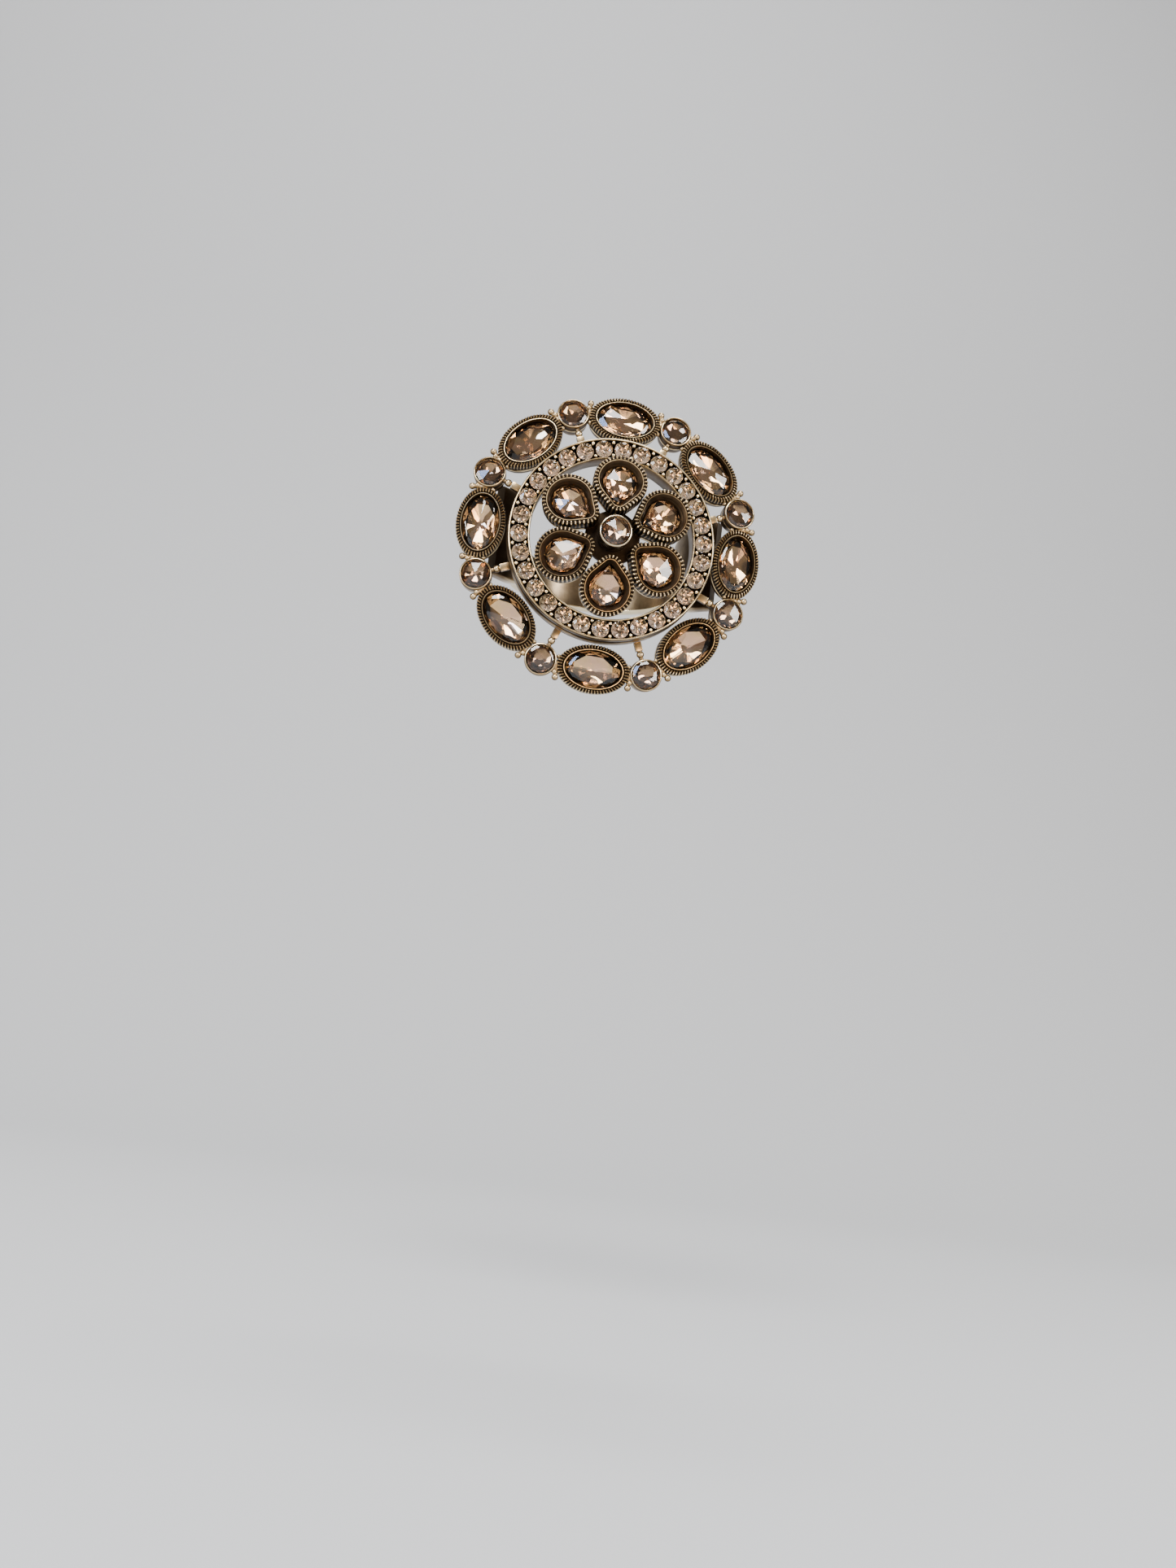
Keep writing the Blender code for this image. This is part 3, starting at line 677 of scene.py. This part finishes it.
def strap_section(width, corner=0.30):
    """Round-edged section of the strap: (along the finger, outwards, wear)."""
    half = STRAP_THICKNESS / 2
    points = []
    for side_z, side_out, start in ((1, 1, 0), (-1, 1, 90), (-1, -1, 180), (1, -1, 270)):
        for step in range(5):
            turn = math.radians(start + step * 22.5)
            points.append((side_z * (width - corner) + corner * math.cos(turn),
                           side_out * (half - corner) + corner * math.sin(turn), 0.95))
        if side_z == side_out:
            wear_and_shade_level = 0.75 if side_out > 0 else 0.30
            points += [(share * side_z * width, side_out * half, wear_and_shade_level)
                       for share in (0.85, 0.5, 0.2, -0.2, -0.5, -0.85)]
    return points


def build_shank():
    """Strap that widens towards its shoulders, with painted shade darkening it where the medallion covers
    it.
    """
    half = strap_path()
    path = np.concatenate([half[:0:-1] * (-1, 1), half])
    along = np.gradient(path, axis=0)
    along /= np.linalg.norm(along, axis=1)[:, None]
    outward = np.column_stack([-along[:, 1], along[:, 0]])
    flare = np.clip((BORE_RADIUS * 0.35 - path[:, 1]) / (BORE_RADIUS * 1.25), 0, 1)
    flare = flare * flare * (3 - 2 * flare)
    widths = STRAP_HALF_WIDTH_BACK + (STRAP_HALF_WIDTH_SHOULDER - STRAP_HALF_WIDTH_BACK) * flare
    verts, wear_and_shade = [], []
    for (x, y), (out_x, out_y), width in zip(path, outward, widths):
        # painted shade: the strap's brightness drops by up to 0.72 where it passes behind the medallion
        medallion_shade = min(max((-y - 5.2) / 2.6, 0.0), 1.0)
        for side, out, wear_and_shade_level in strap_section(width):
            verts.append((x + out_x * out, y + out_y * out, side))
            wear_and_shade.append(wear_and_shade_level * (1.0 - 0.72 * medallion_shade))
    count, rows = len(verts) // len(path), len(path)
    faces = grid_faces(rows, count)
    faces += [tuple(reversed(range(count))), tuple((rows - 1) * count + i for i in range(count))]
    mesh = finish_mesh("strap", verts, faces, wear_and_shade)
    bm = bmesh.new()
    bm.from_mesh(mesh)
    bmesh.ops.recalc_face_normals(bm, faces=bm.faces)
    bm.to_mesh(mesh)
    bm.free()
    place("shank_strap", mesh, Matrix.Identity(4), "polished_brass", ["shank"], BRIGHT)


# ---------------------------------------------------------------- camera, floor and light

LENS, SENSOR_WIDTH = 37.3638, 36.0
CAMERA_ROLL, CAMERA_PITCH, CAMERA_YAW = -7.25, -9.4, 6.94
CAMERA_TO_MEDALLION = (2.555, 26.23, -174.0)
FLOOR_HEIGHT, BACKDROP_DISTANCE, BACKDROP_BEND = -0.085, 0.55, 0.35
FLOOR_FRONT, FLOOR_SIDE, BACKDROP_TOP = -3.0, 3.0, 1.6

# Softboxes: name, azimuth, elevation, distance, width, height, power, colour.
LIGHTS = [
    ("key", -16, 44, 0.62, 0.30, 0.20, 5.4, (1.0, 0.99, 0.97)),
    ("side", 52, 14, 0.60, 0.14, 0.34, 3.6, (1.0, 0.97, 0.94)),
    ("left", -62, 8, 0.60, 0.14, 0.34, 3.0, (0.97, 0.98, 1.0)),
    ("warm_low", 14, -4, 0.55, 0.16, 0.10, 0.8, (1.0, 0.70, 0.42)),
    ("cool_high", -34, 16, 0.55, 0.14, 0.09, 0.9, (0.42, 0.58, 1.0)),
    ("front", -7, -20, 0.60, 0.50, 0.44, 0.35, (1.0, 0.98, 0.95)),
    ("rim", 165, 78, 0.80, 0.50, 0.30, 7.0, (0.97, 0.98, 1.0)),
]


def build_camera():
    """Camera at the picture's place: the ring is seen from a little below and to its left."""
    data = bpy.data.cameras.new("camera")
    data.sensor_width = SENSOR_WIDTH
    data.lens = LENS
    data.clip_start, data.clip_end = 0.01, 20.0
    camera = bpy.data.objects.new("camera", data)
    bpy.context.scene.collection.objects.link(camera)
    turn = (Matrix.Rotation(math.radians(CAMERA_ROLL), 4, "Z")
            @ Matrix.Rotation(math.radians(CAMERA_PITCH), 4, "X")
            @ Matrix.Rotation(math.radians(CAMERA_YAW), 4, "Y"))
    from_medallion = Matrix.Translation(Vector(CAMERA_TO_MEDALLION) * MM) @ turn
    camera.matrix_world = FRONT @ from_medallion.inverted()
    bpy.context.scene.camera = camera


def build_stage():
    """Pale seamless floor that curves up into a backdrop."""
    start_y = BACKDROP_DISTANCE - BACKDROP_BEND
    line = [(FLOOR_FRONT, FLOOR_HEIGHT), (start_y, FLOOR_HEIGHT)]
    for step in range(1, 17):
        turn = math.radians(90.0 * step / 16)
        line.append((start_y + BACKDROP_BEND * math.sin(turn),
                     FLOOR_HEIGHT + BACKDROP_BEND * (1 - math.cos(turn))))
    line.append((BACKDROP_DISTANCE, BACKDROP_TOP))
    verts = [(x, y, z) for y, z in line for x in (-FLOOR_SIDE, FLOOR_SIDE)]
    faces = [(2 * i, 2 * i + 1, 2 * i + 3, 2 * i + 2) for i in range(len(line) - 1)]
    mesh = finish_mesh("floor", np.array(verts) / MM, faces)
    floor = bpy.data.objects.new("floor", mesh)
    bpy.context.scene.collection.objects.link(floor)
    material = bpy.data.materials.new("pale_floor")
    shader = shader_of(material)[2]
    shader.inputs["Base Color"].default_value = (0.47, 0.475, 0.48, 1)
    shader.inputs["Roughness"].default_value = 0.9
    mesh.materials.append(material)


def area_light(name, azimuth, elevation, distance, width, height, power, colour):
    """Softbox that faces the ring from a direction, to the right of and above its front."""
    data = bpy.data.lights.new(name, "AREA")
    data.shape = "RECTANGLE"
    data.size, data.size_y = width, height
    data.energy = power
    data.color = colour
    light = bpy.data.objects.new(name, data)
    bpy.context.scene.collection.objects.link(light)
    across, up = math.radians(azimuth), math.radians(elevation)
    way = Vector((math.sin(across) * math.cos(up), -math.cos(across) * math.cos(up), math.sin(up)))
    light.location = FRONT.translation + way * distance
    light.rotation_mode = "QUATERNION"
    light.rotation_quaternion = (-way).to_track_quat("-Z", "Y")


def build_light():
    """Dim warm room and the softboxes round the ring."""
    world = bpy.data.worlds.new("studio")
    bpy.context.scene.world = world
    world.use_nodes = True
    background = world.node_tree.nodes["Background"]
    background.inputs["Color"].default_value = (0.83, 0.79, 0.73, 1)
    background.inputs["Strength"].default_value = 0.30
    for light in LIGHTS:
        area_light(*light)


build_camera()
build_shank()
build_wreath()
build_pave_ring()
build_flower()
build_center()
build_stones()
build_stage()
build_light()

bpy.context.view_layer.update()
